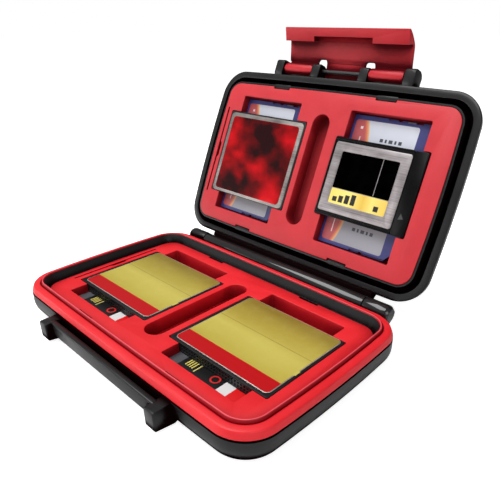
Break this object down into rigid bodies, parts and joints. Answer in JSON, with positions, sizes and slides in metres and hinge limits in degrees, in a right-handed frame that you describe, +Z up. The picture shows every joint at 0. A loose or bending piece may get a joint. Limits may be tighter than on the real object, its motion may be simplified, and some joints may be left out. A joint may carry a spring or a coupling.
{
  "type": "memory card case",
  "caption": "Hinged clamshell case for memory cards, with red soft inserts, a rubber seal, a snap latch and removable cards.",
  "frame": {"origin": "middle of the flat underside of the base shell", "axes": "+X along the hinge, +Y from the latch side to the hinge, +Z up"},
  "size_m": [0.1222, 0.124, 0.0978],
  "materials": {
    "shell_black": "satin",
    "seal_red": "satin",
    "insert_red": "matte",
    "latch_red": "satin",
    "pin_steel": "satin",
    "pin_black": "satin",
    "card_black": "satin",
    "card_gold": "satin",
    "card_art": "satin",
    "card_steel": "satin",
    "card_blue": "satin",
    "card_grey": "satin",
    "lock_grey": "satin",
    "lock_white": "satin"
  },
  "bodies": {
    "base": {"base_shell": "shell_black", "base_seal": "seal_red", "base_tray": "insert_red", "hinge_pin": "pin_steel"},
    "lid": {"lid_shell": "shell_black", "lid_tray": "insert_red", "latch_pin": "pin_black"},
    "latch": {"latch": "latch_red"},
    "lid_right_card": {"lid_right_card_case": "card_black", "lid_right_card_plate": "card_steel", "lid_right_card_end": "card_black"},
    "base_left_card": {"base_left_card_frame": "card_black", "base_left_card_cover": "card_gold", "base_left_card_connector": "card_black"},
    "base_right_card": {"base_right_card_frame": "card_black", "base_right_card_cover": "card_gold", "base_right_card_connector": "card_black"},
    "lid_left_card": {"lid_left_card_frame": "card_black", "lid_left_card_cover": "card_art", "lid_left_card_connector": "card_black"},
    "base_left_small": {"base_left_small_card": "card_grey"},
    "base_left_small_lock": {"base_left_small_lock": "lock_white"},
    "base_right_small": {"base_right_small_card": "card_grey"},
    "base_right_small_lock": {"base_right_small_lock": "lock_white"},
    "lid_upper_left_small": {"lid_upper_left_small_card": "card_blue"},
    "lid_upper_left_small_lock": {"lid_upper_left_small_lock": "lock_grey"},
    "lid_upper_right_small": {"lid_upper_right_small_card": "card_blue"},
    "lid_upper_right_small_lock": {"lid_upper_right_small_lock": "lock_grey"},
    "lid_lower_left_small": {"lid_lower_left_small_card": "card_blue"},
    "lid_lower_left_small_lock": {"lid_lower_left_small_lock": "lock_grey"},
    "lid_lower_right_small": {"lid_lower_right_small_card": "card_blue"},
    "lid_lower_right_small_lock": {"lid_lower_right_small_lock": "lock_grey"}
  },
  "joints": [
    {"name": "lid_hinge", "type": "hinge", "parent": "base", "child": "lid", "pos_m": [0, 0.04086, 0.00934], "axis": [1, 0, 0], "range_deg": [0, 113.35]},
    {"name": "latch_pivot", "type": "hinge", "parent": "lid", "child": "latch", "pos_m": [0, 0.07742, 0.08152], "axis": [1, 0, 0], "range_deg": [-20, 69]},
    {"name": "base_left_card_lift", "type": "slide", "parent": "base", "child": "base_left_card", "axis": [0, 0, -1], "range_m": [-0.012, 0]},
    {"name": "base_right_card_lift", "type": "slide", "parent": "base", "child": "base_right_card", "axis": [0, 0, -1], "range_m": [-0.012, 0]},
    {"name": "lid_left_card_lift", "type": "slide", "parent": "lid", "child": "lid_left_card", "axis": [0, 0.9181, -0.3963], "range_m": [-0.012, 0]},
    {"name": "lid_right_card_lift", "type": "slide", "parent": "lid", "child": "lid_right_card", "axis": [0, 0.9181, -0.3963], "range_m": [-0.012, 0]},
    {"name": "base_left_small_lift", "type": "slide", "parent": "base", "child": "base_left_small", "axis": [0, 0, -1], "range_m": [-0.006, 0]},
    {"name": "base_right_small_lift", "type": "slide", "parent": "base", "child": "base_right_small", "axis": [0, 0, -1], "range_m": [-0.006, 0]},
    {"name": "lid_upper_left_small_lift", "type": "slide", "parent": "lid", "child": "lid_upper_left_small", "axis": [0, 0.9181, -0.3963], "range_m": [-0.006, 0]},
    {"name": "lid_upper_right_small_lift", "type": "slide", "parent": "lid", "child": "lid_upper_right_small", "axis": [0, 0.9181, -0.3963], "range_m": [-0.006, 0]},
    {"name": "lid_lower_left_small_lift", "type": "slide", "parent": "lid", "child": "lid_lower_left_small", "axis": [0, 0.9181, -0.3963], "range_m": [-0.006, 0]},
    {"name": "lid_lower_right_small_lift", "type": "slide", "parent": "lid", "child": "lid_lower_right_small", "axis": [0, 0.9181, -0.3963], "range_m": [-0.006, 0]},
    {"name": "base_left_small_lock_slide", "type": "slide", "parent": "base_left_small", "child": "base_left_small_lock", "axis": [1, 0, 0], "range_m": [0, 0.002]},
    {"name": "base_right_small_lock_slide", "type": "slide", "parent": "base_right_small", "child": "base_right_small_lock", "axis": [1, 0, 0], "range_m": [0, 0.002]},
    {"name": "lid_upper_left_small_lock_slide", "type": "slide", "parent": "lid_upper_left_small", "child": "lid_upper_left_small_lock", "axis": [1, 0, 0], "range_m": [0, 0.002]},
    {"name": "lid_upper_right_small_lock_slide", "type": "slide", "parent": "lid_upper_right_small", "child": "lid_upper_right_small_lock", "axis": [1, 0, 0], "range_m": [0, 0.002]},
    {"name": "lid_lower_left_small_lock_slide", "type": "slide", "parent": "lid_lower_left_small", "child": "lid_lower_left_small_lock", "axis": [1, 0, 0], "range_m": [0, 0.002]},
    {"name": "lid_lower_right_small_lock_slide", "type": "slide", "parent": "lid_lower_right_small", "child": "lid_lower_right_small_lock", "axis": [1, 0, 0], "range_m": [0, 0.002]}
  ],
  "couplings": [
    {"joint": "base_left_small_lift", "follows": "base_left_card_lift", "ratio": 0.5},
    {"joint": "base_right_small_lift", "follows": "base_right_card_lift", "ratio": 0.5},
    {"joint": "lid_upper_left_small_lift", "follows": "lid_left_card_lift", "ratio": 0.5},
    {"joint": "lid_upper_right_small_lift", "follows": "lid_right_card_lift", "ratio": 0.5},
    {"joint": "lid_lower_left_small_lift", "follows": "lid_left_card_lift", "ratio": 0.5},
    {"joint": "lid_lower_right_small_lift", "follows": "lid_right_card_lift", "ratio": 0.5}
  ]
}
